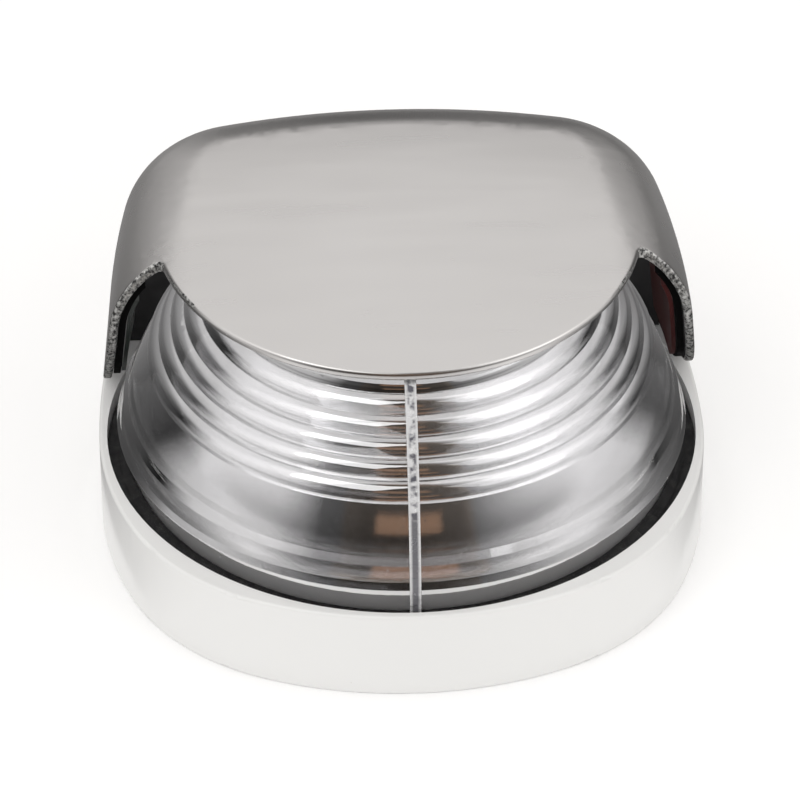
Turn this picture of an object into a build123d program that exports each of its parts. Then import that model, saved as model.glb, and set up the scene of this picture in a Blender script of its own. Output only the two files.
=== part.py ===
"""Bi-colour bow light for a boat deck: a tray, a two-piece ribbed lens over a reflector, and a steel hood.

Millimetres, +Z up, origin at the middle of the deck face. The bow is at -Y, port at +X, starboard at -X.
"""
from build123d import *

import os
from math import atan2, cos, degrees, radians, sin, sqrt

# Driving dimensions
half_width = 44.0  # tray, from its axis to the front, the sides and the rear
rim_height = 14.0
front_flat_radius, front_diagonal = 55.0, 32.33  # bow of the tray's flats, and x = y reach of its corners
rear_flat_radius, rear_diagonal = 150.0, 36.25
lens_radius = 41.5
lens_centre_z = 8.9
lens_wall = 2.2
hood_wall = 1.3
hood_draft = 5.8  # degrees

# Clearances
rest_gap = 0.3  # between pieces that lift apart
slip_gap = 0.15  # between pieces that are bonded or clamped
thread_gap = 0.05  # a screw in its hole, radially
screw_end_gap = 0.5  # below a screw's end

# Tray
floor_thickness = 2.5
well_radius = 35.9  # hollow under the lens
seat_radius = 42.85  # inside of the rim
seat_z = 10.0
seat_rear_y = 24.8
lip_rounding = 0.5
gasket_height, gasket_setback = 1.5, 1.0
fixing_circle_radius = 26.0
fixing_hole_radius = 2.25
fixing_boss_radius, fixing_boss_height = 5.0, 1.5
seal_inner_radius, seal_outer_radius, seal_depth = 37.5, 40.5, 1.2
gland_y = 12.0
gland_bore_radius = 3.0
gland_radius, gland_flange_radius = 4.8, 7.0
gland_height, gland_flange_height, gland_taper = 9.0, 1.5, 4.0
upstand_inset, upstand_thickness, upstand_height = 5.5, 2.2, 7.0
upstand_half_length = 24.0
terminal_y, terminal_length, terminal_width, terminal_height = 29.0, 22.0, 9.0, 9.5
pole_pitch, tunnel_z, tunnel_radius = 7.5, 3.6, 2.2
contact_half_length, contact_wall = 3.6, 0.6
terminal_screw_radius, terminal_screw_recess, slot_width = 1.5, 0.8, 0.5

# Lens
lens_foot_z = seat_z + gasket_height + rest_gap
lens_top_z = 41.4
lens_rear_y = 22.0
skirt_radius = 41.3
seam_width, seam_gap = 1.6, 0.02
rib_start, rib_pitch, rib_count = 62.0, 4.3, 6  # degrees from the vertical
rib_height, groove_depth = 0.35, 0.25
band_step = 0.35
joint_roof_radius = 26.0
lower_step_z, upper_step_z, step_height = 16.7, 20.2, 1.1

# Hood
hood_foot_z = rim_height + rest_gap
hood_setback = 0.15
crown_radius, crown_summit_y, crown_top_z = 400.0, 32.0, 47.4
hood_shoulder = 13.0
visor_half_width, visor_half_length, visor_centre_y = 34.6, 33.2, 7.0
opening_foot_y = 16.0  # side edge of the opening, in side view, from the foot to the roof
opening_mid_y, opening_mid_z = -0.4, 33.5
opening_top_y, opening_top_z = 1.2, 44.0
notch_rounding = 1.5
liner_wall = 1.0
liner_setback = 1.2
screw_x, screw_z = 16.0, 17.6
screw_radius, screw_length, screw_boss_radius = 2.0, 4.0, 3.0
screw_boss_y, screw_tip_y, screw_socket_radius = 39.2, 38.1, 1.15
liner_top_z = 39.5
liner_relief_x, liner_relief_y, liner_relief_z = 27.0, 30.0, 22.5
screen_wall, screen_foot_z, screen_top_z = 0.6, 18.0, 37.0

# Optics
carrier_thickness, carrier_radius, lead_hole_radius = 1.5, 38.8, 4.0
bulkhead_y, bulkhead_thickness, bulkhead_foot_half_width = 22.3, 2.0, 34.4
reflector_foot_radius, reflector_mid_radius, reflector_mid_angle = 37.0, 35.2, 57.0
reflector_flange = 1.5
reflector_head_radius, reflector_head_z, reflector_bore = 18.5, 33.0, 12.3
reflector_wall = 1.0
divider_thickness, divider_top_z = 0.8, 35.8
pillar_radius, pillar_head_radius, pillar_fin_radius = 7.0, 15.0, 12.0
fin_pitch, fin_thickness, fin_count = 3.6, 1.2, 5
pillar_screw_circle, pillar_screw_radius, pillar_screw_depth, pillar_screw_head = 9.0, 1.25, 5.0, 1.3
led_board_z, led_board_radius, led_board_bore, led_board_thickness = 36.0, 24.5, 4.0, 1.2
led_ring_radius, led_size, led_height, led_window_radius = 21.5, 3.0, 1.2, 1.15
led_first, led_last, led_count = 12, 100, 5  # angles from the bow
cover_inner_radius, cover_outer_radius, cover_thickness = 19.9, 23.4, 0.7
cover_z, cover_first, cover_last, cover_leg = 33.9, 4, 110, 3

# Driver
board_thickness = 1.6
driver_board_y, driver_z = 25.8, 26.0
driver_half_width, driver_half_height = 19.0, 8.0
driver_screw_x, driver_screw_z = 16.0, 5.5
standoff_radius, standoff_height = 2.4, 1.5
board_screw_radius, board_screw_depth, board_screw_head = 0.95, 3.0, 1.2
inductor_x, inductor_radius, inductor_height = -7.0, 5.5, 5.0
capacitor_x, capacitor_radius, capacitor_height = 6.0, 3.0, 7.0
chip_length, chip_width, chip_height = 7.0, 5.0, 1.4

os.makedirs("parts", exist_ok=True)


def finish(shape, name):
    """Label one piece and write it."""
    shape.label = name
    export_step(shape, f"parts/{name}.step")


def corner_arc(flat_radius, diagonal):
    """Centre coordinate and radius of the arc that joins the two flats of one quarter of the plan."""
    flat_centre = flat_radius - half_width
    reach = flat_radius - sqrt(2) * diagonal
    centre = (flat_centre**2 - reach**2) / (2 * (sqrt(2) * reach - flat_centre))
    return centre, (diagonal - centre) * sqrt(2)


# Plan of the tray: two flats and a corner in each quarter, all of them tangent arcs, rounder at the bow
with BuildSketch() as tray_plan:
    with BuildLine():
        for flat_radius, diagonal, way in (
            (front_flat_radius, front_diagonal, -1),
            (rear_flat_radius, rear_diagonal, 1),
        ):
            centre, radius = corner_arc(flat_radius, diagonal)
            flat_centre = flat_radius - half_width
            turn = degrees(atan2(centre, centre + flat_centre))
            CenterArc((-flat_centre, 0), flat_radius, 0, way * turn)
            CenterArc((centre, way * centre), radius, way * turn, way * (90 - 2 * turn))
            CenterArc((0, -way * flat_centre), flat_radius, way * (90 - turn), way * 2 * turn)
            CenterArc((-centre, way * centre), radius, way * (90 + turn), way * (90 - 2 * turn))
            CenterArc((flat_centre, 0), flat_radius, way * (180 - turn), way * turn)
    make_face()


def plan(inset):
    """The tray's plan, moved inwards."""
    with BuildSketch() as moved:
        add(tray_plan.sketch)
        offset(amount=-inset, mode=Mode.REPLACE)
    return moved.sketch


def behind(y):
    """Plane across the light, facing the bow."""
    return Plane.XZ.offset(-y)


# Base tray: moulded in white plastic, hollow under the lens, with a raised wall inside the hood at the rear
with BuildPart() as base_tray:
    with BuildSketch():
        add(tray_plan.sketch)
    extrude(amount=rim_height)
    outer_edges = base_tray.faces().sort_by(Axis.Z)[-1].edges()
    fillet(outer_edges, lip_rounding)
    fillet(base_tray.faces().sort_by(Axis.Z)[0].edges(), lip_rounding)
    with BuildSketch(Plane.XY.offset(seat_z)):
        Circle(seat_radius)
        with Locations((0, seat_rear_y - half_width)):
            Rectangle(2 * half_width, 2 * half_width, mode=Mode.INTERSECT)
    extrude(amount=rim_height - seat_z, mode=Mode.SUBTRACT)
    with BuildSketch(Plane.XY.offset(floor_thickness)):
        Circle(well_radius)
    extrude(amount=rim_height, mode=Mode.SUBTRACT)
    with BuildSketch(Plane.XY.offset(rim_height)):
        add(plan(upstand_inset))
        add(plan(upstand_inset + upstand_thickness), mode=Mode.SUBTRACT)
        with Locations((0, half_width)):
            Rectangle(2 * upstand_half_length, half_width, mode=Mode.INTERSECT)
    extrude(amount=upstand_height)
    with BuildSketch(Plane.XY.offset(floor_thickness)):
        with PolarLocations(fixing_circle_radius, 4, start_angle=45):
            Circle(fixing_boss_radius)
    extrude(amount=fixing_boss_height)
    with BuildSketch():
        with PolarLocations(fixing_circle_radius, 4, start_angle=45):
            Circle(fixing_hole_radius)
        with Locations((0, gland_y)):
            Circle(gland_radius)
    extrude(amount=rim_height - seat_z + floor_thickness, mode=Mode.SUBTRACT)
    with BuildSketch():
        Circle(seal_outer_radius)
        Circle(seal_inner_radius, mode=Mode.SUBTRACT)
    extrude(amount=seal_depth, mode=Mode.SUBTRACT)
finish(base_tray.part, "base_tray")

# Deck seal: a rubber ring in a groove of the deck face
with BuildPart() as deck_seal:
    with BuildSketch():
        Circle(seal_outer_radius - slip_gap)
        Circle(seal_inner_radius + slip_gap, mode=Mode.SUBTRACT)
    extrude(amount=seal_depth)
finish(deck_seal.part, "deck_seal")

# Lens gasket: a flat rubber band on the seat, open at the rear
with BuildPart() as lens_gasket:
    with BuildSketch(Plane.XY.offset(seat_z)):
        Circle(seat_radius - slip_gap)
        Circle(well_radius + gasket_setback, mode=Mode.SUBTRACT)
        with Locations((0, lens_rear_y - half_width)):
            Rectangle(2 * half_width, 2 * half_width, mode=Mode.INTERSECT)
    extrude(amount=gasket_height)
finish(lens_gasket.part, "lens_gasket")

# Cable gland: a rubber bush through the floor, with a flange inside and a tapered nose
with BuildPart() as cable_gland:
    with BuildSketch():
        with Locations((0, gland_y)):
            Circle(gland_radius)
    extrude(amount=floor_thickness)
    with BuildSketch(Plane.XY.offset(floor_thickness)):
        with Locations((0, gland_y)):
            Circle(gland_flange_radius)
    extrude(amount=gland_flange_height)
    with BuildSketch(Plane.XY.offset(floor_thickness + gland_flange_height)):
        with Locations((0, gland_y)):
            Circle(gland_radius)
    extrude(amount=gland_height - floor_thickness - gland_flange_height, taper=gland_taper)
    with BuildSketch():
        with Locations((0, gland_y)):
            Circle(gland_bore_radius)
    extrude(amount=gland_height, mode=Mode.SUBTRACT)
finish(cable_gland.part, "cable_gland")

# Terminal block: three poles, each with a wire tunnel and a screw well
with BuildPart() as terminal_block:
    with BuildSketch(Plane.XY.offset(floor_thickness)):
        with Locations((0, terminal_y)):
            Rectangle(terminal_length, terminal_width)
    extrude(amount=terminal_height)
    fillet(terminal_block.edges().filter_by(Axis.Z), contact_wall)
    with BuildSketch(behind(terminal_y - terminal_width)):
        with Locations((0, floor_thickness + tunnel_z)):
            with GridLocations(pole_pitch, 1, 3, 1):
                Circle(tunnel_radius)
    extrude(amount=-2 * terminal_width, mode=Mode.SUBTRACT)
    with BuildSketch(Plane.XY.offset(floor_thickness + terminal_height)):
        with Locations((0, terminal_y)):
            with GridLocations(pole_pitch, 1, 3, 1):
                Circle(terminal_screw_radius + slip_gap)
    extrude(amount=-(terminal_height - tunnel_z), mode=Mode.SUBTRACT)
finish(terminal_block.part, "terminal_block")

# Terminal contacts: a brass tube in each tunnel
with BuildPart() as terminal_contacts:
    with BuildSketch(behind(terminal_y - contact_half_length)):
        with Locations((0, floor_thickness + tunnel_z)):
            with GridLocations(pole_pitch, 1, 3, 1):
                Circle(tunnel_radius - slip_gap)
                Circle(tunnel_radius - slip_gap - contact_wall, mode=Mode.SUBTRACT)
    extrude(amount=-2 * contact_half_length)
finish(terminal_contacts.part, "terminal_contacts")

# Terminal screws: slotted, standing on the contacts
with BuildPart() as terminal_screws:
    screw_top = floor_thickness + terminal_height - terminal_screw_recess
    with BuildSketch(Plane.XY.offset(screw_top)):
        with Locations((0, terminal_y)):
            with GridLocations(pole_pitch, 1, 3, 1):
                Circle(terminal_screw_radius)
    extrude(amount=floor_thickness + tunnel_z + tunnel_radius + slip_gap - screw_top)
    with BuildSketch(Plane.XY.offset(screw_top)):
        with Locations((0, terminal_y)):
            with GridLocations(pole_pitch, 1, 3, 1):
                Rectangle(2.5 * terminal_screw_radius, slot_width)
    extrude(amount=-terminal_screw_recess, mode=Mode.SUBTRACT)
finish(terminal_screws.part, "terminal_screws")


def sphere_point(radius, angle):
    """Point of the dome's section, by its angle from the vertical."""
    return radius * sin(radians(angle)), lens_centre_z + radius * cos(radians(angle))


def band_point(z, proud):
    """Point of the dome's section at a height, standing proud of the dome."""
    return sqrt(lens_radius**2 - (z - lens_centre_z) ** 2) + proud, z


# Section of the lens: skirt, two stepped bands, a plain band and the ribs, each rib
# one arc between two grooves
with BuildSketch(Plane.XZ) as lens_section:
    with BuildLine():
        skirt_top = (skirt_radius, lower_step_z)
        lower_band = band_point(lower_step_z + step_height, band_step)
        upper_band = band_point(upper_step_z, band_step)
        plain_foot = band_point(upper_step_z + step_height, 0)
        rib_foot = sphere_point(lens_radius, rib_start)
        Polyline((0, lens_foot_z), (skirt_radius, lens_foot_z), skirt_top, lower_band)
        ThreePointArc(lower_band, band_point((lower_band[1] + upper_band[1]) / 2, band_step), upper_band)
        Line(upper_band, plain_foot)
        ThreePointArc(plain_foot, band_point((plain_foot[1] + rib_foot[1]) / 2, 0), rib_foot)
        groove = rib_foot
        for rib in range(rib_count):
            angle = rib_start - rib * rib_pitch
            crest = sphere_point(lens_radius + rib_height, angle - rib_pitch / 2)
            next_groove = sphere_point(lens_radius - groove_depth, angle - rib_pitch)
            ThreePointArc(groove, crest, next_groove)
            groove = next_groove
        Polyline(groove, (0, groove[1]), (0, lens_foot_z))
    make_face()
    with Locations((0, lens_top_z + half_width)):
        Rectangle(4 * half_width, 2 * half_width, mode=Mode.SUBTRACT)

# Hollow of the lens: a smaller dome with a flat roof
with BuildSketch(Plane.XZ) as lens_hollow:
    with Locations((0, lens_centre_z)):
        Circle(lens_radius - lens_wall)
    with Locations((half_width / 2, (lens_top_z - lens_wall) / 2)):
        Rectangle(half_width, lens_top_z - lens_wall, mode=Mode.INTERSECT)


def lens_half(side):
    """Half of the dome: +1 port, -1 starboard."""
    with BuildPart() as half:
        add(lens_section.sketch)
        revolve(axis=Axis.Z)
        add(lens_hollow.sketch)
        revolve(axis=Axis.Z, mode=Mode.SUBTRACT)
        split(bisect_by=behind(lens_rear_y), keep=Keep.TOP)
        seam_plane = Plane.YZ.offset(side * (seam_width / 2 + seam_gap))
        split(bisect_by=seam_plane, keep=Keep.TOP if side > 0 else Keep.BOTTOM)
    return half.part


# Lens halves: clear acrylic, one over each sector
lens_port = lens_half(1)
finish(lens_port, "lens_port")
lens_starboard = lens_half(-1)
finish(lens_starboard, "lens_starboard")

# Lens joint: the clear strip that bonds the halves
with BuildPart() as lens_joint:
    with BuildSketch(Plane.XZ):
        with Locations((0, lens_centre_z)):
            Circle(lens_radius + band_step)
            Circle(lens_radius - lens_wall, mode=Mode.SUBTRACT)
        with Locations((skirt_radius / 2, (lens_foot_z + lens_top_z) / 2)):
            Rectangle(skirt_radius, lens_top_z - lens_foot_z, mode=Mode.INTERSECT)
    revolve(axis=Axis.Z)
    with BuildSketch(Plane.XY.offset(lens_top_z - lens_wall)):
        Circle(joint_roof_radius)
    extrude(amount=lens_wall)
    split(bisect_by=behind(lens_rear_y), keep=Keep.TOP)
    split(bisect_by=Plane.YZ.offset(-seam_width / 2), keep=Keep.TOP)
    split(bisect_by=Plane.YZ.offset(seam_width / 2), keep=Keep.BOTTOM)
finish(lens_joint.part, "lens_joint")


def hood_form(inset):
    """Solid inside the hood's outer surface, moved inwards by the inset: drafted walls,
    a crowned roof and a round shoulder."""
    with BuildPart() as form:
        with BuildSketch(Plane.XY.offset(hood_foot_z)):
            add(plan(hood_setback + inset / cos(radians(hood_draft))))
        extrude(amount=crown_top_z, taper=hood_draft)
        with Locations((0, crown_summit_y, crown_top_z - crown_radius)):
            Sphere(crown_radius - inset, mode=Mode.INTERSECT)
        fillet(form.faces().sort_by(Axis.Z)[-1].edges(), hood_shoulder - inset)
    return form.part


def opening_form(setback):
    """What the hood leaves open, moved back by the setback: all ahead of the side edge
    except under the visor."""
    with BuildPart() as opening:
        with BuildSketch(Plane.YZ):
            with BuildLine():
                foot = (opening_foot_y + setback, hood_foot_z)
                top = (opening_top_y + setback, opening_top_z)
                ThreePointArc(foot, (opening_mid_y + setback, opening_mid_z), top)
                Polyline(top, (top[0], 2 * half_width), (-2 * half_width, 2 * half_width))
                Polyline((-2 * half_width, 2 * half_width), (-2 * half_width, 0), (foot[0], 0), foot)
            make_face()
        extrude(amount=2 * half_width, both=True)
        with BuildSketch(Plane.XY):
            with Locations((0, visor_centre_y)):
                Ellipse(visor_half_width, visor_half_length)
        extrude(amount=2 * half_width, mode=Mode.SUBTRACT)
        notch_edges = opening.edges().filter_by(GeomType.BSPLINE)
        fillet(notch_edges.filter_by_position(Axis.Z, hood_foot_z, 2 * half_width), notch_rounding)
    return opening.part


# Bosses for the set screws, inside the hood's rear wall
with BuildPart() as screw_bosses:
    with BuildSketch(behind(screw_boss_y)):
        with Locations((-screw_x, screw_z), (screw_x, screw_z)):
            Circle(screw_boss_radius)
    extrude(amount=-half_width)
    add(hood_form(hood_wall / 2), mode=Mode.INTERSECT)

# Hood: pressed and polished stainless steel, with the visor over the lens
with BuildPart() as hood:
    add(hood_form(0))
    add(hood_form(hood_wall), mode=Mode.SUBTRACT)
    add(opening_form(0), mode=Mode.SUBTRACT)
    add(screw_bosses.part)
    with BuildSketch(behind(screw_boss_y - 1)):
        with Locations((-screw_x, screw_z), (screw_x, screw_z)):
            Circle(screw_radius + thread_gap)
    extrude(amount=-half_width, mode=Mode.SUBTRACT)
finish(hood.part, "hood")

# Hood liner: black plastic, bonded inside the side and rear walls
liner_inset = hood_wall + slip_gap
with BuildPart() as hood_liner:
    add(hood_form(liner_inset))
    add(hood_form(liner_inset + liner_wall), mode=Mode.SUBTRACT)
    add(opening_form(liner_setback), mode=Mode.SUBTRACT)
    split(bisect_by=Plane.XY.offset(liner_top_z), keep=Keep.BOTTOM)
    with BuildSketch(behind(liner_relief_y)):
        with Locations((0, hood_foot_z)):
            Rectangle(2 * liner_relief_x, 2 * (liner_relief_z - hood_foot_z))
    extrude(amount=-half_width, mode=Mode.SUBTRACT)
finish(hood_liner.part, "hood_liner")

# Side screens: coloured panels on the liner, beside the lens
screen_inset = liner_inset + liner_wall + slip_gap
for screen_name, side in (("port_screen", 1), ("starboard_screen", -1)):
    with BuildPart() as screen:
        add(hood_form(screen_inset))
        add(hood_form(screen_inset + screen_wall), mode=Mode.SUBTRACT)
        add(opening_form(liner_setback + screen_wall), mode=Mode.SUBTRACT)
        with BuildSketch(Plane.YZ):
            with Locations((lens_rear_y - half_width, (screen_foot_z + screen_top_z) / 2)):
                Rectangle(2 * half_width, screen_top_z - screen_foot_z)
        extrude(amount=side * half_width, mode=Mode.INTERSECT)
    finish(screen.part, screen_name)

# Rear bulkhead: closes the lens and fills the hood's section, with four standoffs for the driver board
with BuildPart() as rear_bulkhead:
    add(hood_form(screen_inset))
    with BuildSketch(Plane.XY.offset(lens_foot_z)):
        with Locations((0, bulkhead_y + bulkhead_thickness / 2)):
            Rectangle(2 * bulkhead_foot_half_width, 3 * bulkhead_thickness)
    extrude(amount=2 * bulkhead_thickness)
    with BuildSketch(Plane.XY):
        with Locations((0, bulkhead_y + bulkhead_thickness / 2)):
            Rectangle(2 * half_width, bulkhead_thickness)
    extrude(amount=crown_top_z, mode=Mode.INTERSECT)
    with BuildSketch(behind(bulkhead_y + bulkhead_thickness)):
        with Locations((0, driver_z)):
            with GridLocations(2 * driver_screw_x, 2 * driver_screw_z, 2, 2):
                Circle(standoff_radius)
    extrude(amount=-standoff_height)
    with BuildSketch(behind(driver_board_y)):
        with Locations((0, driver_z)):
            with GridLocations(2 * driver_screw_x, 2 * driver_screw_z, 2, 2):
                Circle(board_screw_radius + thread_gap)
    extrude(amount=board_screw_depth, mode=Mode.SUBTRACT)
finish(rear_bulkhead.part, "rear_bulkhead")

# Carrier plate: black plastic floor of the lens
with BuildPart() as carrier_plate:
    with BuildSketch(Plane.XY.offset(lens_foot_z)):
        Circle(carrier_radius)
        Circle(lead_hole_radius, mode=Mode.SUBTRACT)
        with Locations((0, lens_rear_y - half_width)):
            Rectangle(2 * half_width, 2 * half_width, mode=Mode.INTERSECT)
    extrude(amount=carrier_thickness)
finish(carrier_plate.part, "carrier_plate")


def nearer(point, distance):
    """A point of the reflector's section, moved towards the middle of the dome."""
    scale = 1 - distance / sqrt(point[0] ** 2 + (point[1] - lens_centre_z) ** 2)
    return point[0] * scale, lens_centre_z + (point[1] - lens_centre_z) * scale


# Reflector: a metallised dome behind the lens, with a foot flange and a flat head
reflector_foot_z = lens_foot_z + carrier_thickness + slip_gap
reflector_foot = (reflector_foot_radius, reflector_foot_z)
reflector_mid = sphere_point(reflector_mid_radius, reflector_mid_angle)
reflector_head = (reflector_head_radius, reflector_head_z)
with BuildPart() as reflector_dome:
    with BuildSketch(Plane.XZ):
        with BuildLine():
            inner_foot = (reflector_foot_radius - reflector_wall, reflector_foot_z)
            inner_mid = nearer(reflector_mid, reflector_wall)
            inner_head = (reflector_head_radius - reflector_wall / 2, reflector_head_z - reflector_wall)
            ThreePointArc(reflector_foot, reflector_mid, reflector_head)
            bore_head = (reflector_bore, reflector_head_z)
            bore_foot = (reflector_bore, inner_head[1])
            Polyline(reflector_head, bore_head, bore_foot, inner_head)
            ThreePointArc(inner_head, inner_mid, inner_foot)
            Line(inner_foot, reflector_foot)
        make_face()
        with Locations((reflector_foot_radius, reflector_foot_z + reflector_wall / 2)):
            Rectangle(2 * reflector_flange, reflector_wall)
    revolve(axis=Axis.Z)
    split(bisect_by=behind(lens_rear_y), keep=Keep.TOP)
finish(reflector_dome.part, "reflector_dome")

# Sector divider: a thin fin behind the joint of the lens, between the two colours
with BuildPart() as sector_divider:
    with BuildSketch(Plane.YZ):
        with BuildLine():
            fin_radius = lens_radius - lens_wall - slip_gap
            fin_foot_z = reflector_foot_z + reflector_wall + slip_gap
            fin_foot = (-sqrt(fin_radius**2 - (fin_foot_z - lens_centre_z) ** 2), fin_foot_z)
            fin_top = (-sqrt(fin_radius**2 - (divider_top_z - lens_centre_z) ** 2), divider_top_z)
            fin_side = sphere_point(fin_radius, reflector_mid_angle)
            inner_top = (-reflector_head_radius - slip_gap, divider_top_z)
            inner_bend = (inner_top[0], reflector_head_z + slip_gap)
            reflector_side = nearer(reflector_mid, -2 * slip_gap)
            inner_foot = (-reflector_foot_radius - slip_gap, fin_foot_z)
            ThreePointArc(fin_foot, (-fin_side[0], fin_side[1]), fin_top)
            Polyline(fin_top, inner_top, inner_bend)
            ThreePointArc(inner_bend, (-reflector_side[0], reflector_side[1]), inner_foot)
            Line(inner_foot, fin_foot)
        make_face()
    extrude(amount=divider_thickness / 2, both=True)
finish(sector_divider.part, "sector_divider")

# Lamp pillar: turned aluminium heat sink with fins, from the carrier plate to the LED board
with BuildPart() as lamp_pillar:
    with BuildSketch(Plane.XY.offset(reflector_foot_z)):
        Circle(pillar_radius)
    extrude(amount=led_board_z - reflector_foot_z)
    for fin in range(fin_count):
        with BuildSketch(Plane.XY.offset(reflector_foot_z + fin * fin_pitch)):
            Circle(pillar_fin_radius)
        extrude(amount=fin_thickness)
    with BuildSketch(Plane.XY.offset(reflector_head_z + slip_gap)):
        Circle(pillar_head_radius)
    extrude(amount=led_board_z - reflector_head_z - slip_gap)
    with BuildSketch(Plane.XY.offset(led_board_z)):
        with PolarLocations(pillar_screw_circle, 3, start_angle=90):
            Circle(pillar_screw_radius + thread_gap)
    extrude(amount=-pillar_screw_depth - screw_end_gap, mode=Mode.SUBTRACT)
finish(lamp_pillar.part, "lamp_pillar")

# LED board: a ring of circuit board on the pillar's head, cut off at the bulkhead
with BuildPart() as led_board:
    with BuildSketch(Plane.XY.offset(led_board_z)):
        Circle(led_board_radius)
        Circle(led_board_bore, mode=Mode.SUBTRACT)
        with PolarLocations(pillar_screw_circle, 3, start_angle=90):
            Circle(pillar_screw_radius + slip_gap, mode=Mode.SUBTRACT)
        with Locations((0, lens_rear_y - half_width)):
            Rectangle(2 * half_width, 2 * half_width, mode=Mode.INTERSECT)
    extrude(amount=led_board_thickness)
finish(led_board.part, "led_board")

# Pillar screws: three pan-head screws with a slot
with BuildPart() as pillar_screws:
    with BuildSketch(Plane.XY.offset(led_board_z - pillar_screw_depth)):
        with PolarLocations(pillar_screw_circle, 3, start_angle=90):
            Circle(pillar_screw_radius)
    extrude(amount=pillar_screw_depth + led_board_thickness)
    with BuildSketch(Plane.XY.offset(led_board_z + led_board_thickness)):
        with PolarLocations(pillar_screw_circle, 3, start_angle=90):
            Circle(2 * pillar_screw_radius)
    extrude(amount=pillar_screw_head)
    fillet(pillar_screws.faces().sort_by(Axis.Z)[-3:].edges(), pillar_screw_head / 3)
    with BuildSketch(Plane.XY.offset(led_board_z + led_board_thickness + pillar_screw_head)):
        with PolarLocations(pillar_screw_circle, 3, start_angle=90):
            Rectangle(5 * pillar_screw_radius, slot_width)
    extrude(amount=-pillar_screw_head / 2, mode=Mode.SUBTRACT)
finish(pillar_screws.part, "pillar_screws")


def on_led_ring(side, first, last, count):
    """Places along one sector of the LED ring, by angles from the bow."""
    return PolarLocations(
        led_ring_radius,
        count,
        start_angle=side * first - 90,
        angular_range=side * (last - first),
        endpoint=True,
    )


def cover_band(side, first, last):
    """Part of a ring under the LEDs, between two angles from the bow."""
    with BuildSketch() as band:
        with BuildLine():
            start = side * first - 90
            turn = side * (last - first)
            outer = CenterArc((0, 0), cover_outer_radius, start, turn)
            inner = CenterArc((0, 0), cover_inner_radius, start, turn)
            Line(outer @ 0, inner @ 0)
            Line(outer @ 1, inner @ 1)
        make_face()
    return band.sketch


# LEDs and their coloured covers: one bank and one cover for each sector
for sector, side in (("port", 1), ("starboard", -1)):
    with BuildPart() as leds:
        with BuildSketch(Plane.XY.offset(led_board_z)):
            with on_led_ring(side, led_first, led_last, led_count):
                Rectangle(led_size, led_size)
        extrude(amount=-led_height)
        with BuildSketch(Plane.XY.offset(led_board_z - led_height)):
            with on_led_ring(side, led_first, led_last, led_count):
                Circle(led_window_radius)
        extrude(amount=led_height / 4, mode=Mode.SUBTRACT)
    finish(leds.part, f"{sector}_leds")

    with BuildPart() as light_cover:
        with BuildSketch(Plane.XY.offset(cover_z)):
            add(cover_band(side, cover_first, cover_last))
        extrude(amount=cover_thickness)
        with BuildSketch(Plane.XY.offset(cover_z)):
            add(cover_band(side, cover_first, cover_first + cover_leg))
            add(cover_band(side, cover_last - cover_leg, cover_last))
        extrude(amount=led_board_z - cover_z)
    finish(light_cover.part, f"{sector}_light_cover")

# Driver board: upright behind the bulkhead
with BuildPart() as driver_board:
    with BuildSketch(behind(driver_board_y)):
        with Locations((0, driver_z)):
            RectangleRounded(2 * driver_half_width, 2 * driver_half_height, 1.5)
            with GridLocations(2 * driver_screw_x, 2 * driver_screw_z, 2, 2):
                Circle(board_screw_radius + slip_gap, mode=Mode.SUBTRACT)
    extrude(amount=-board_thickness)
finish(driver_board.part, "driver_board")

# Board screws
driver_face_y = driver_board_y + board_thickness
with BuildPart() as board_screws:
    with BuildSketch(behind(driver_face_y)):
        with Locations((0, driver_z)):
            with GridLocations(2 * driver_screw_x, 2 * driver_screw_z, 2, 2):
                Circle(board_screw_radius)
    extrude(amount=board_thickness + board_screw_depth - screw_end_gap)
    with BuildSketch(behind(driver_face_y)):
        with Locations((0, driver_z)):
            with GridLocations(2 * driver_screw_x, 2 * driver_screw_z, 2, 2):
                Circle(2 * board_screw_radius)
    extrude(amount=-board_screw_head)
    with BuildSketch(behind(driver_face_y + board_screw_head)):
        with Locations((0, driver_z)):
            with GridLocations(2 * driver_screw_x, 2 * driver_screw_z, 2, 2):
                Rectangle(5 * board_screw_radius, slot_width)
    extrude(amount=board_screw_head / 2, mode=Mode.SUBTRACT)
finish(board_screws.part, "board_screws")

# Inductor: a drum core on the driver board
with BuildPart() as driver_inductor:
    with BuildSketch(behind(driver_face_y)):
        with Locations((inductor_x, driver_z)):
            Circle(inductor_radius)
    extrude(amount=-inductor_height)
    with BuildSketch(behind(driver_face_y + inductor_height / 5)):
        with Locations((inductor_x, driver_z)):
            Circle(inductor_radius)
            Circle(0.8 * inductor_radius, mode=Mode.SUBTRACT)
    extrude(amount=-0.6 * inductor_height, mode=Mode.SUBTRACT)
finish(driver_inductor.part, "driver_inductor")

# Capacitors: two cans beside the inductor
with BuildPart() as driver_capacitors:
    with BuildSketch(behind(driver_face_y)):
        with Locations((capacitor_x, driver_z + capacitor_radius)):
            with GridLocations(2.4 * capacitor_radius, 1, 2, 1):
                Circle(capacitor_radius)
    extrude(amount=-capacitor_height)
    fillet(driver_capacitors.faces().sort_by(Axis.Y)[-2:].edges(), capacitor_radius / 6)
finish(driver_capacitors.part, "driver_capacitors")

# Regulator chip
with BuildPart() as driver_chip:
    with BuildSketch(behind(driver_face_y)):
        with Locations((capacitor_x, driver_z - chip_width + 1)):
            Rectangle(chip_length, chip_width)
    extrude(amount=-chip_height)
    chamfer(driver_chip.faces().sort_by(Axis.Y)[-1].edges(), chip_height / 5)
finish(driver_chip.part, "driver_chip")

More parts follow.
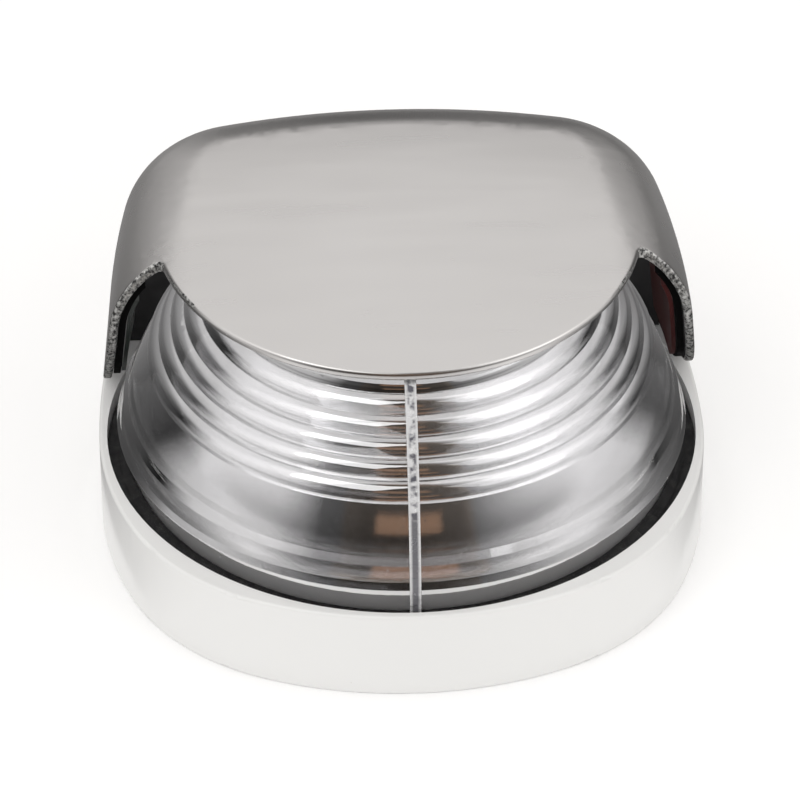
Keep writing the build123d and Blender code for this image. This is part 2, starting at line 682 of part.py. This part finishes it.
# Set screws: short socket screws through the hood's bosses, stopping just ahead of the tray's raised wall
for screw_name, side in (("cover_screw_port", 1), ("cover_screw_starboard", -1)):
    with BuildPart() as cover_screw:
        with BuildSketch(behind(screw_tip_y)):
            with Locations((side * screw_x, screw_z)):
                Circle(screw_radius)
        extrude(amount=-screw_length)
        chamfer(cover_screw.faces().sort_by(Axis.Y)[0].edges(), screw_radius / 4)
        with BuildSketch(behind(screw_tip_y + screw_length)):
            with Locations((side * screw_x, screw_z)):
                RegularPolygon(screw_socket_radius, 6)
        extrude(amount=screw_length / 2, mode=Mode.SUBTRACT)
    finish(cover_screw.part, screw_name)
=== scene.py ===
from math import cos, radians, sin

import bpy
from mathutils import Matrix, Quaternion, Vector


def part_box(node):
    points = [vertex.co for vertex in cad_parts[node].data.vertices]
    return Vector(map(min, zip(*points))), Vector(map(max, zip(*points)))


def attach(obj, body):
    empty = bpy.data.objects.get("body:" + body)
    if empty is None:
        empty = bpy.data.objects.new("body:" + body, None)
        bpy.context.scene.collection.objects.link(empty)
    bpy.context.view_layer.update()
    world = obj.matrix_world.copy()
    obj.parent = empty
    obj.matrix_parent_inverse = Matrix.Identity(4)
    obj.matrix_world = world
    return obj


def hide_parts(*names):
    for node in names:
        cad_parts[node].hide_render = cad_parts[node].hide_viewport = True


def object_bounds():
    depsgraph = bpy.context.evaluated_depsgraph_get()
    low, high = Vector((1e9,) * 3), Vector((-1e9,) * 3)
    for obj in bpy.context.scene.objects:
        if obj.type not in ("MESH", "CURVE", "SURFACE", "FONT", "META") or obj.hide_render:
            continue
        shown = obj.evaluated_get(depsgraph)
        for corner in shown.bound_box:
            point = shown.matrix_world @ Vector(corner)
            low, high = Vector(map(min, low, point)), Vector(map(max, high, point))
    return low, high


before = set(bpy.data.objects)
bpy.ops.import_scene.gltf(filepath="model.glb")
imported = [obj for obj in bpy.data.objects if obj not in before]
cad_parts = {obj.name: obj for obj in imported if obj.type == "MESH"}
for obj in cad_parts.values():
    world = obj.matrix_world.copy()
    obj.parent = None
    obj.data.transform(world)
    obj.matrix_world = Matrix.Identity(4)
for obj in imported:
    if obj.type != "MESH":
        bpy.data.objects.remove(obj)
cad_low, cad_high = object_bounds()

bpy.ops.object.select_all(action="DESELECT")


# ---- Studio ----
# A pale table under a white tent, with the camera ahead of the bow and above it. Flags and
# softboxes of cloth hang inside the tent, and only polished surfaces show them.
camera_distance, camera_azimuth, camera_elevation, camera_roll = 0.8, -2.7, 37.3, 0.1
camera_focus = Vector((-0.0002, 0, 0.0187))
camera_lens_mm, camera_sensor_mm = 248, 36


def direction(azimuth, elevation):
    """Unit vector by degrees from the bow, positive to port, and degrees above the deck."""
    a, e = radians(azimuth), radians(elevation)
    return Vector((sin(a) * cos(e), -cos(a) * cos(e), sin(e)))


camera_data = bpy.data.cameras.new("camera")
camera_data.lens, camera_data.sensor_width = camera_lens_mm, camera_sensor_mm
camera = bpy.data.objects.new("camera", camera_data)
bpy.context.collection.objects.link(camera)
towards_camera = direction(camera_azimuth, camera_elevation)
camera.location = camera_focus + towards_camera * camera_distance
camera.rotation_mode = "QUATERNION"
level = (-towards_camera).to_track_quat("-Z", "Y")
camera.rotation_quaternion = level @ Quaternion((0, 0, 1), radians(-camera_roll))
bpy.context.scene.camera = camera
bpy.context.scene.view_settings.view_transform = "Standard"


# Light from the tent's lining, by degrees round from the bow and degrees above the table,
# and from the cloth on the table, by its distance from the middle in metres. The first
# line of each pair is the starboard side, from the stern to the bow, the second the port.
lining_azimuths = (-180, -160, -136, -120, -103, -86, -69, -51, -34, -16,
                   3, 21, 39, 57, 74, 92, 108, 125, 141, 180)
low_lining = (.14, .48, .24, .08, .01, .90, .62, .42, .07, .03,
              .03, .06, .26, .48, .90, .85, .03, .07, .22, .14)
tent_lining = (
    (-8, low_lining),
    (3, low_lining),
    (12, (.12, .50, .34, .15, .02, 1.0, .95, .75, .10, .05,
          .06, .08, .45, .85, 1.0, .95, .06, .15, .42, .12)),
    (22, (.13, .54, .44, .20, .12, 1.0, 1.0, .85, .14, .06,
          .07, .10, .55, 1.0, 1.1, 1.0, .25, .25, .50, .13)),
    (29, (.25, .55, .50, .40, .60, 1.1, 1.1, .95, .12, .05,
          .06, .10, .60, 1.2, 1.2, 1.0, .50, .45, .54, .25)),
    (33, (.46, .60, .60, .60, .80, 1.1, 1.2, 1.1, .12, .04,
          .06, .10, .65, 1.4, 1.4, 1.1, .70, .65, .60, .46)),
    (36, (.78, .76, .78, .70, .90, 1.1, 1.2, 1.2, .12, .04,
          .06, .10, .75, 1.5, 1.5, 1.2, .80, .80, .78, .78)),
    (38, (1.0, .92, .88, .80, .90, 1.1, 1.2, 1.2, .12, .04,
          .06, .10, .75, 1.5, 1.5, 1.2, .88, .88, .92, 1.0)),
    (60, (1.0, 1.0, 1.0, 1.0, 1.0, 1.2, 1.4, 1.3, .15, .04,
          .05, .14, .90, 1.7, 1.6, 1.3, 1.0, 1.0, 1.0, 1.0)),
    (79, (1.0, 1.0, 1.0, 1.0, 1.0, 1.1, 1.2, 1.1, .25, .06,
          .07, .22, .90, 1.3, 1.3, 1.1, 1.0, 1.0, 1.0, 1.0)),
    (89, (.90,) * 20),
)
table_cloth = (
    (.047, (.30, .30, .28, .12, .10, .12, .30, 1.1, 1.2, 1.1,
            .95, 1.1, 1.2, 1.1, .35, .15, .10, .12, .28, .30)),
    (.08, (.30, .30, .28, .12, .10, .15, .35, 1.1, 1.1, 1.0,
           .90, 1.0, 1.2, 1.1, .40, .18, .10, .15, .28, .30)),
    (.108, (.30, .30, .28, .12, .08, .40, .60, 1.0, .80, .70,
            .60, .75, 1.0, 1.0, .60, .30, .10, .15, .28, .30)),
    (.128, (.28, .30, .25, .12, .04, .70, .90, .70, .10, .04,
            .05, .10, .50, .85, .80, .75, .10, .15, .28, .28)),
    (1.1, low_lining),
)
tent_radius, table_cloth_height = 1.1, 0.0004
lining_columns, lining_rows = 143, 48
cloth_tint = (1.0, 0.985, 0.985)
# Bronze boards: azimuths, places, light. Behind them the shade at the bow is warm too.
shade_azimuths, shade_level, shade_tint = (-26, 26), 0.4, (1.12, 0.97, 0.85)
boards = (
    ((-12, 13), (6.5, 14), (0.27, 0.17, 0.115)),
    ((-14, 10), (30, 42), (0.30, 0.19, 0.13)),
    ((-12, 14), (.125, .17), (0.36, 0.21, 0.14)),
)


def between(value, stops):
    """Where value falls among rising stops: the stop below it and the share of the way on."""
    k = max(i for i in range(len(stops) - 1) if i == 0 or stops[i] <= value)
    share = (value - stops[k]) / (stops[k + 1] - stops[k])
    return k, min(1.0, max(0.0, share))


def lining(name, rows, point_at):
    """Cloth seen only in reflections. Each row is (place, light round it), and point_at
    gives a point from an azimuth and a place."""
    bpy.ops.mesh.primitive_grid_add(size=2, x_subdivisions=lining_columns,
                                    y_subdivisions=lining_rows)
    cloth = bpy.context.object
    cloth.name = name
    light = cloth.data.color_attributes.new("light", "FLOAT_COLOR", "POINT")
    places = [place for place, _ in rows]
    for vertex in cloth.data.vertices:
        azimuth = 180 * vertex.co.x
        share = (vertex.co.y + 1) / 2 * (len(places) - 1)
        k = min(int(share), len(places) - 2)
        up = share - k
        across, on = between(azimuth, lining_azimuths)
        level = sum(weight * row[1][across + step] * (on if step else 1 - on)
                    for weight, row in ((1 - up, rows[k]), (up, rows[k + 1])) for step in (0, 1))
        place = places[k] + (places[k + 1] - places[k]) * up
        in_shade = shade_azimuths[0] < azimuth < shade_azimuths[1] and level < shade_level
        colour = [level * t for t in (shade_tint if in_shade else cloth_tint)]
        for sides, ends, board_colour in boards:
            if sides[0] < azimuth < sides[1] and ends[0] < place < ends[1]:
                colour = board_colour
        light.data[vertex.index].color = (*colour, 1)
        vertex.co = point_at(azimuth, place)
    material = bpy.data.materials.new(name)
    material.use_nodes = True
    nodes = material.node_tree.nodes
    nodes.remove(nodes["Principled BSDF"])
    glow, shade = nodes.new("ShaderNodeEmission"), nodes.new("ShaderNodeAttribute")
    shade.attribute_name = "light"
    material.node_tree.links.new(shade.outputs["Color"], glow.inputs["Color"])
    material.node_tree.links.new(glow.outputs[0], nodes["Material Output"].inputs["Surface"])
    cloth.data.materials.append(material)
    cloth.visible_camera = cloth.visible_diffuse = cloth.visible_shadow = False
    cloth.select_set(False)


def on_table(azimuth, distance):
    """A point just over the table, on the cloth."""
    return Vector((*(direction(azimuth, 0) * distance).xy, cad_low.z + table_cloth_height))


def in_tent(azimuth, elevation):
    """A point on the tent's lining."""
    return direction(azimuth, elevation) * tent_radius


lining("tent_lining", tent_lining, in_tent)
lining("table_cloth", table_cloth, on_table)

tent_colour, tent_strength = (1, 0.985, 0.97), 0.92
world = bpy.data.worlds.new("tent")
world.use_nodes = True
tent = world.node_tree.nodes["Background"]
tent.inputs["Color"].default_value = (*tent_colour, 1)
tent.inputs["Strength"].default_value = tent_strength
bpy.context.scene.world = world

lamp_distance, lamp_gloss = 0.9, 0.25
for name, azimuth, elevation, power, size in (
    ("key_light", -35, 58, 1.1, 0.5),
    ("fill_light", 50, 40, 0.5, 0.6),
):
    lamp_data = bpy.data.lights.new(name, "AREA")
    lamp_data.energy, lamp_data.size = power, size
    lamp_data.specular_factor = lamp_gloss
    lamp = bpy.data.objects.new(name, lamp_data)
    bpy.context.collection.objects.link(lamp)
    lamp.location = direction(azimuth, elevation) * lamp_distance
    lamp.rotation_euler = (-direction(azimuth, elevation)).to_track_quat("-Z", "Y").to_euler()


# Every finish is a Principled shader whose patterns read Object coordinates, in metres.
def finish(name, colour, metallic=0.0, roughness=0.5, **more):
    """A material with its even values on the shader's own sockets."""
    material = bpy.data.materials.new(name)
    material.use_nodes = True
    shader = material.node_tree.nodes["Principled BSDF"].inputs
    shader["Base Color"].default_value = (*colour, 1)
    shader["Metallic"].default_value = metallic
    shader["Roughness"].default_value = roughness
    for socket, value in more.items():
        shader[socket.replace("_", " ").title().replace("Ior", "IOR")].default_value = value
    return material


def node(material, kind, links=(), **values):
    """A node in a material: links are (input, output socket) pairs."""
    made = material.node_tree.nodes.new(kind)
    for key, value in values.items():
        if hasattr(made, key):
            setattr(made, key, value)
        else:
            made.inputs[key.replace("_", " ").title()].default_value = value
    for socket, source in links:
        material.node_tree.links.new(source, made.inputs[socket])
    return made


def place(material, stretch=(1, 1, 1)):
    """The point on the piece, in metres, stretched for a pattern."""
    point = node(material, "ShaderNodeTexCoord").outputs["Object"]
    if stretch == (1, 1, 1):
        return point
    return node(material, "ShaderNodeMapping", [("Vector", point)], Scale=stretch).outputs[0]


def cloud(material, scale, detail=3.0, stretch=(1, 1, 1), roughness=0.5):
    """Even noise whose features are about 1 / scale metres wide."""
    return node(material, "ShaderNodeTexNoise", [("Vector", place(material, stretch))],
                Scale=scale, Detail=detail, Roughness=roughness).outputs[0]


def mixed(material, factor, first, second):
    """A colour between two, each a colour or a socket."""
    mix = node(material, "ShaderNodeMix", data_type="RGBA")
    material.node_tree.links.new(factor, mix.inputs[0])
    for socket, value in ((6, first), (7, second)):
        if isinstance(value, tuple):
            mix.inputs[socket].default_value = (*value, 1)
        else:
            material.node_tree.links.new(value, mix.inputs[socket])
    return mix.outputs[2]


def drive(material, socket, source):
    """A pattern on one of the shader's sockets."""
    shader = material.node_tree.nodes["Principled BSDF"]
    material.node_tree.links.new(source, shader.inputs[socket])


def tone(material, factor, first, second):
    """Base colour between two, by a pattern."""
    drive(material, "Base Color", mixed(material, factor, first, second))


table_radius = 4
table = finish("table_board", (0.93, 0.93, 0.93), roughness=0.6, emission_strength=0.1)
tone(table, cloud(table, 4), (0.92, 0.92, 0.92), (0.94, 0.94, 0.94))
table.node_tree.nodes["Principled BSDF"].inputs["Emission Color"].default_value = (1, 1, 1, 1)
bpy.ops.mesh.primitive_circle_add(vertices=96, radius=table_radius, fill_type="NGON",
                                  location=(0, 0, cad_low.z))
floor = bpy.context.object
floor.name = "table"
floor.data.materials.append(table)
floor.select_set(False)


# ---- Base tray ----
# The tray is injection moulded in white ASA plastic and left glossy from the tool. It
# screws to the deck and carries every other piece inside its rounded rim.
def spots(material, scale):
    """Distance from the middle of scattered cells about 1 / scale metres apart."""
    return node(material, "ShaderNodeTexVoronoi", [("Vector", place(material))],
                Scale=scale).outputs["Distance"]


def ramp(material, source, low, high, to_low=0.0, to_high=1.0):
    """Source from low to high, spread over two other values."""
    return node(material, "ShaderNodeMapRange", [("Value", source)], From_Min=low, From_Max=high,
                To_Min=to_low, To_Max=to_high).outputs[0]


def gloss(material, scale, smooth, rough, detail=3.0, stretch=(1, 1, 1)):
    """Roughness that wanders between two values."""
    source = cloud(material, scale, detail, stretch)
    drive(material, "Roughness", ramp(material, source, 0.3, 0.7, smooth, rough))


def relief(material, *layers):
    """Bump from (height socket, depth in metres) layers, coarse ones first."""
    normal = None
    for height, depth in layers:
        links = [("Height", height)] + ([("Normal", normal)] if normal else [])
        normal = node(material, "ShaderNodeBump", links, Distance=depth).outputs[0]
    drive(material, "Normal", normal)


def dress(material, *names):
    """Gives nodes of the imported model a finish."""
    for name in names:
        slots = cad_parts[name].data.materials
        slots.clear()
        slots.append(material)


white_plastic = finish("white_plastic", (0.72, 0.72, 0.71), roughness=0.28,
                       coat_weight=0.25, coat_roughness=0.12)
plastic_tone = mixed(white_plastic, cloud(white_plastic, 600),
                     (0.762, 0.762, 0.752), (0.767, 0.767, 0.757))
specks = ramp(white_plastic, spots(white_plastic, 160), 0.008, 0.02)
tone(white_plastic, specks, (0.60, 0.58, 0.55), plastic_tone)
gloss(white_plastic, 900, 0.275, 0.285)
relief(white_plastic, (specks, -1e-6))
dress(white_plastic, "base_tray")


# ---- Seals ----
# Black rubber mouldings: a flat seal under the tray, a soft ring that the lens stands on,
# and the gland that grips the cable. Rubber is dull, with a fine skin and dust in it.
rubber = finish("rubber", (0.014, 0.014, 0.015), roughness=0.72)
dust = ramp(rubber, cloud(rubber, 900, 5), 0.45, 0.75)
tone(rubber, dust, (0.011, 0.011, 0.012), (0.035, 0.033, 0.032))
gloss(rubber, 500, 0.62, 0.82)
relief(rubber, (cloud(rubber, 1800, 4), 1.5e-5))
dress(rubber, "deck_seal", "lens_gasket", "cable_gland")


# ---- Terminal block ----
# A black nylon block holds three brass tunnels with steel clamp screws, where the cable's
# cores end. It is bonded to the tray's floor under the rear of the hood.
nylon = finish("nylon", (0.02, 0.02, 0.021), roughness=0.46)
gloss(nylon, 700, 0.38, 0.56)
tone(nylon, cloud(nylon, 300), (0.016, 0.016, 0.017), (0.03, 0.03, 0.031))
relief(nylon, (cloud(nylon, 3000, 3), 6e-6))
brass = finish("brass", (0.74, 0.55, 0.27), 1.0, 0.3)
tone(brass, cloud(brass, 500), (0.76, 0.57, 0.28), (0.62, 0.42, 0.20))
gloss(brass, 900, 0.22, 0.42)
relief(brass, (cloud(brass, 700, 3, (1, 1, 8)), 4e-6))
screw_steel = finish("screw_steel", (0.60, 0.60, 0.60), 1.0, 0.25)
gloss(screw_steel, 1200, 0.18, 0.36)
tone(screw_steel, cloud(screw_steel, 800), (0.62, 0.62, 0.61), (0.46, 0.45, 0.44))
relief(screw_steel, (cloud(screw_steel, 2500, 2), 3e-6))
dress(nylon, "terminal_block")
dress(brass, "terminal_contacts")
dress(screw_steel, "terminal_screws")


# ---- Lamp ----
# A turned aluminium pillar stands on the carrier plate and cools a round board with the
# LEDs facing down at the reflector, red filter to port and green to starboard.
aluminium = finish("aluminium", (0.70, 0.70, 0.71), 1.0, 0.32)
gloss(aluminium, 300, 0.24, 0.42, 2, (1, 1, 12))
tone(aluminium, cloud(aluminium, 400), (0.72, 0.72, 0.73), (0.62, 0.62, 0.63))
relief(aluminium, (cloud(aluminium, 200, 1, (1, 1, 16)), 3e-6))
board = finish("board", (0.02, 0.12, 0.05), roughness=0.4, coat_weight=0.5, coat_roughness=0.15)
tracks = ramp(board, cloud(board, 320, 0, (1, 1, 0.2)), 0.49, 0.5)
tone(board, tracks, (0.012, 0.085, 0.035), (0.03, 0.16, 0.07))
relief(board, (tracks, 1.5e-5), (cloud(board, 2500), 3e-6))
led = finish("led", (0.78, 0.70, 0.35), roughness=0.35, subsurface_weight=0.2)
tone(led, ramp(led, spots(led, 500), 0.2, 0.5), (0.78, 0.66, 0.20), (0.85, 0.85, 0.80))
relief(led, (cloud(led, 3000), 4e-6))


deeper_share = 0.7


def tinted(name, colour):
    """Moulded transparent plastic of one colour, faintly wavy."""
    made = finish(name, colour, roughness=0.08, transmission_weight=0.9, ior=1.49)
    deeper = tuple(value * deeper_share for value in colour)
    tone(made, cloud(made, 160), colour, deeper)
    gloss(made, 500, 0.05, 0.14)
    relief(made, (cloud(made, 400, 2), 6e-6))
    return made


red_filter = tinted("red_filter", (0.16, 0.008, 0.006))
green_filter = tinted("green_filter", (0.006, 0.06, 0.03))
dress(nylon, "carrier_plate")
dress(aluminium, "lamp_pillar")
dress(screw_steel, "pillar_screws")
dress(board, "led_board")
dress(led, "port_leds", "starboard_leds")
dress(red_filter, "port_light_cover")
dress(green_filter, "starboard_light_cover")


# ---- Driver ----
# The board screwed to the nylon bulkhead turns the boat's supply into a steady current: a wound
# inductor, two electrolytic capacitors in black sleeves and one control chip.
component = finish("component", (0.025, 0.025, 0.028), roughness=0.38)
print_band = ramp(component, cloud(component, 260, 1), 0.35, 0.65)
tone(component, print_band, (0.018, 0.018, 0.02), (0.045, 0.045, 0.05))
gloss(component, 1500, 0.28, 0.5)
relief(component, (cloud(component, 2200), 6e-6))
dress(nylon, "rear_bulkhead")
dress(board, "driver_board")
dress(screw_steel, "board_screws")
dress(component, "driver_inductor", "driver_capacitors", "driver_chip")


# ---- Reflector ----
# A moulded dome, metallised under vacuum like a car lamp, throws the light out through
# the lens. A thin black blade at the bow keeps red and green apart.
mirror = finish("mirror", (0.80, 0.80, 0.82), 1.0, 0.18)
hazy = cloud(mirror, 60, 4)
turning = cloud(mirror, 300, 3, (1, 1, 14))
turned_tone = mixed(mirror, ramp(mirror, turning, 0.35, 0.65),
                    (0.86, 0.85, 0.87), (0.96, 0.955, 0.96))
tone(mirror, ramp(mirror, hazy, 0.5, 0.8), turned_tone, (0.80, 0.79, 0.82))
gloss(mirror, 220, 0.13, 0.26, 5)
relief(mirror,
       (cloud(mirror, 160, 2, (1, 1, 8)), 2.4e-5),
       (turning, 1.6e-6),
       (cloud(mirror, 1500, 3, (1, 1, 3)), 2e-6))

reflector_back_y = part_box("reflector_dome")[1].y
lens_low, lens_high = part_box("lens_port")
lens_centre_z, lens_inner_radius = 0.0089, 0.0393
reflector_gap, reflector_wall, reflector_bore = 0.0002, 0.00025, 0.0165
reflector_foot_z, reflector_head_z = lens_low.z + 0.0001, lens_high.z - 0.0026
same_place = 1e-6
bpy.ops.mesh.primitive_uv_sphere_add(segments=192, ring_count=128, location=(0, 0, lens_centre_z),
                                     radius=lens_inner_radius - reflector_gap)
reflector = bpy.context.object
reflector.name = "reflector"
bpy.ops.object.mode_set(mode="EDIT")
for spot, facing in (
    ((0, 0, reflector_foot_z), (0, 0, -1)),
    ((0, reflector_back_y, 0), (0, 1, 0)),
    ((0, 0, reflector_head_z), (0, 0, 1)),
):
    bpy.ops.mesh.select_all(action="SELECT")
    bpy.ops.mesh.bisect(plane_co=spot, plane_no=facing, clear_outer=True)
bpy.ops.object.mode_set(mode="OBJECT")
bpy.ops.object.transform_apply(location=True, rotation=False, scale=False)
at_head = [abs(v.co.z - reflector_head_z) < same_place for v in reflector.data.vertices]
head_radius = max(v.co.xy.length for v in reflector.data.vertices if at_head[v.index])
bpy.ops.object.mode_set(mode="EDIT")
bpy.ops.mesh.select_mode(type="EDGE")
bpy.ops.mesh.select_all(action="DESELECT")
bpy.ops.object.mode_set(mode="OBJECT")
for edge in reflector.data.edges:
    edge.select = all(at_head[v] for v in edge.vertices)
bpy.ops.object.mode_set(mode="EDIT")
bpy.ops.mesh.extrude_edges_move()
inwards = reflector_bore / head_radius
bpy.ops.transform.resize(value=(inwards, inwards, 1), center_override=(0, 0, reflector_head_z))
bpy.ops.object.mode_set(mode="OBJECT")
reflector.data.materials.append(mirror)
wall = reflector.modifiers.new("wall", "SOLIDIFY")
wall.thickness, wall.offset = reflector_wall, -1
bpy.ops.object.modifier_apply(modifier="wall")
bpy.ops.object.shade_smooth_by_angle(angle=radians(40))
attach(reflector, "hood_unit")
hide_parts("reflector_dome")
reflector.select_set(False)
dress(nylon, "sector_divider")


# ---- Lens ----
# Two halves moulded in clear acrylic meet on the middle line. Six ribs round the dome
# spread the beam, and flow marks and fine scratches show in the plain bands.
acrylic = finish("acrylic", (0.95, 0.95, 0.96), 0.5, 0.04, transmission_weight=1.0, ior=1.49)
tone(acrylic, cloud(acrylic, 50), (0.97, 0.97, 0.985), (1.0, 1.0, 1.0))
drive(acrylic, "Roughness", ramp(acrylic, cloud(acrylic, 300, 5), 0.45, 0.75, 0.015, 0.07))
skirt_top, skirt_edge = lens_low.z + 0.0049, 0.0002
skirt_metallic, dome_metallic = 0.92, 0.5
up = node(acrylic, "ShaderNodeSeparateXYZ", [(0, place(acrylic))]).outputs[2]
drive(acrylic, "Metallic", ramp(acrylic, up, skirt_top - skirt_edge, skirt_top + skirt_edge,
                                skirt_metallic, dome_metallic))
scratches = ramp(acrylic, spots(acrylic, 330), 0.015, 0.05)
relief(acrylic,
       (cloud(acrylic, 200, 2, (1, 1, 3)), 8e-6),
       (scratches, 2.5e-5),
       (ramp(acrylic, up, lens_low.z, skirt_top), 5e-4),
       (cloud(acrylic, 700, 5, (1, 1, 5)), 2.5e-6))
dress(acrylic, "lens_port", "lens_starboard")


# ---- Lens joint ----
# The halves are cemented with a bead of clear resin, which fills the groove between them
# and has caught a row of small bubbles over the ribs.
core_side, ribs_foot_z = (0.0003, 0.0006), (0.0262, 0.0275)
resin = finish("resin", (0.94, 0.94, 0.95), roughness=0.15, transmission_weight=0.35, ior=1.47,
               coat_weight=0.6)
axes = node(resin, "ShaderNodeSeparateXYZ", [(0, place(resin))])
from_middle = node(resin, "ShaderNodeMath", [(0, axes.outputs[0])], operation="ABSOLUTE").outputs[0]
core = ramp(resin, from_middle, *core_side)
crumple = ramp(resin, cloud(resin, 650, 4, (1, 1, 1.6)), 0.42, 0.56)
over_ribs = ramp(resin, axes.outputs[2], *ribs_foot_z)
bubbles = mixed(resin, crumple, (0.16, 0.16, 0.19), (0.97, 0.97, 0.98))
core_tone = mixed(resin, over_ribs, (0.22, 0.22, 0.24), bubbles)
tone(resin, core, core_tone, (0.96, 0.96, 0.97))
gloss(resin, 900, 0.1, 0.3)
relief(resin, (core, 1.5e-4), (crumple, 1.2e-4))
dress(resin, "lens_joint")


# ---- Hood liner and screens ----
# Inside the hood a black plastic liner and one tinted screen on each side stop light
# from leaving abaft the beam.
liner = finish("liner", (0.003, 0.003, 0.003), roughness=0.8, specular_ior_level=0.02)
tone(liner, cloud(liner, 400), (0.002, 0.002, 0.002), (0.005, 0.005, 0.005))
gloss(liner, 900, 0.5, 0.75)
relief(liner, (cloud(liner, 2500, 3), 8e-6))
dark_red = finish("dark_red", (0.05, 0.003, 0.003), roughness=0.55, specular_ior_level=0.2)
tone(dark_red, cloud(dark_red, 120, 4), (0.075, 0.005, 0.004), (0.02, 0.0015, 0.0015))
relief(dark_red, (cloud(dark_red, 800, 3), 6e-6))
dark_green = finish("dark_green", (0.002, 0.012, 0.006), roughness=0.35)
tone(dark_green, cloud(dark_green, 120, 4), (0.002, 0.012, 0.006), (0.001, 0.003, 0.002))
relief(dark_green, (cloud(dark_green, 800, 3), 6e-6))
dress(liner, "hood_liner")
dress(dark_red, "port_screen")
dress(dark_green, "starboard_screen")
# The chrome and the lens don't mirror these pieces, and stay bright up to the hood.
for name in ("hood_liner", "port_screen", "starboard_screen", "rear_bulkhead"):
    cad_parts[name].visible_glossy = False


# ---- Hood ----
# Pressed from 1.3 mm stainless steel sheet and polished outside and on the lip of its
# visor. The cut edges of the side openings are left rough, and the inside is blackened.
polished = finish("polished_steel", (0.63, 0.615, 0.60), 1.0, 0.28)
tone(polished, cloud(polished, 35, 3), (0.645, 0.632, 0.617), (0.60, 0.587, 0.572))
buffing = cloud(polished, 260, 4, (0.15, 1, 1))
drive(polished, "Roughness", ramp(polished, buffing, 0.3, 0.7, 0.21, 0.28))
pits = ramp(polished, spots(polished, 260), 0.02, 0.05)
relief(polished, (cloud(polished, 900, 3, (0.3, 1, 1)), 4e-7), (pits, 3e-6))
rough_edge = finish("rough_edge_steel", (0.45, 0.45, 0.44), 0.9, 0.5)
grains = cloud(rough_edge, 1900, 6, roughness=0.65)
tone(rough_edge, ramp(rough_edge, grains, 0.40, 0.60), (0.06, 0.06, 0.06), (0.62, 0.62, 0.60))
drive(rough_edge, "Roughness", ramp(rough_edge, grains, 0.35, 0.65, 0.75, 0.32))
relief(rough_edge, (cloud(rough_edge, 900, 3), 1.2e-4), (grains, 9e-5))
blackened = finish("blackened_steel", (0.006, 0.006, 0.006), 0.0, 0.7, specular_ior_level=0.05)
gloss(blackened, 900, 0.42, 0.66)
tone(blackened, cloud(blackened, 500, 4), (0.004, 0.004, 0.004), (0.010, 0.009, 0.009))
relief(blackened, (cloud(blackened, 1500, 4), 2e-5))

hood = bpy.data.objects.new("hood_shell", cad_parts["hood"].data.copy())
bpy.context.collection.objects.link(hood)
hood.select_set(True)
bpy.context.view_layer.objects.active = hood
bpy.ops.object.mode_set(mode="EDIT")
bpy.ops.mesh.select_all(action="SELECT")
bpy.ops.mesh.remove_doubles(threshold=2e-6)
bpy.ops.object.mode_set(mode="OBJECT")
bpy.ops.mesh.customdata_custom_splitnormals_clear()
hood.data.materials.clear()
outside, side_edge, inside, lip_edge, side_lip_edge = range(5)
for material in (polished, rough_edge, blackened, polished, rough_edge):
    hood.data.materials.append(material)
inside_point = Vector((0, 0.008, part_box("hood")[0].z + 0.006))
side_x, side_y, side_top_z, side_lip_top_z = 0.030, 0.0175, 0.0452, 0.0448
edge_facing, lip_facing, turned_inwards = -0.6, -0.3, -1e-4
for face in hood.data.polygons:
    normal, centre = face.normal, face.center
    at_side = abs(centre.x) > side_x and centre.y < side_y and centre.z < side_top_z
    if at_side and normal.y < edge_facing:
        face.material_index = side_edge
    elif normal.dot(centre - inside_point) < turned_inwards:
        face.material_index = inside
    else:
        face.material_index = outside
lip_width = 0.00045
lip = hood.modifiers.new("lip", "BEVEL")
lip.width, lip.segments, lip.material = lip_width, 4, lip_edge
lip.limit_method, lip.angle_limit = "ANGLE", radians(40)
lip.use_clamp_overlap = False
bpy.ops.object.modifier_apply(modifier="lip")
for face in hood.data.polygons:
    at_side = abs(face.center.x) > side_x and face.center.z < side_lip_top_z
    if face.material_index == lip_edge and at_side and face.normal.y < lip_facing:
        face.material_index = side_lip_edge
bpy.ops.object.shade_smooth_by_angle(angle=radians(50))
even = hood.modifiers.new("even", "WEIGHTED_NORMAL")
even.mode, even.weight, even.keep_sharp = "FACE_AREA", 90, True
bpy.ops.object.modifier_apply(modifier="even")
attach(hood, "hood_unit")
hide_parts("hood")
hood.visible_glossy = False
hood.select_set(False)


# ---- Cover screws ----
# Two stainless set screws with hexagon sockets go through bosses in the back of the hood,
# up to the tray's raised wall, and hold the cover down.
dress(screw_steel, "cover_screw_port", "cover_screw_starboard")
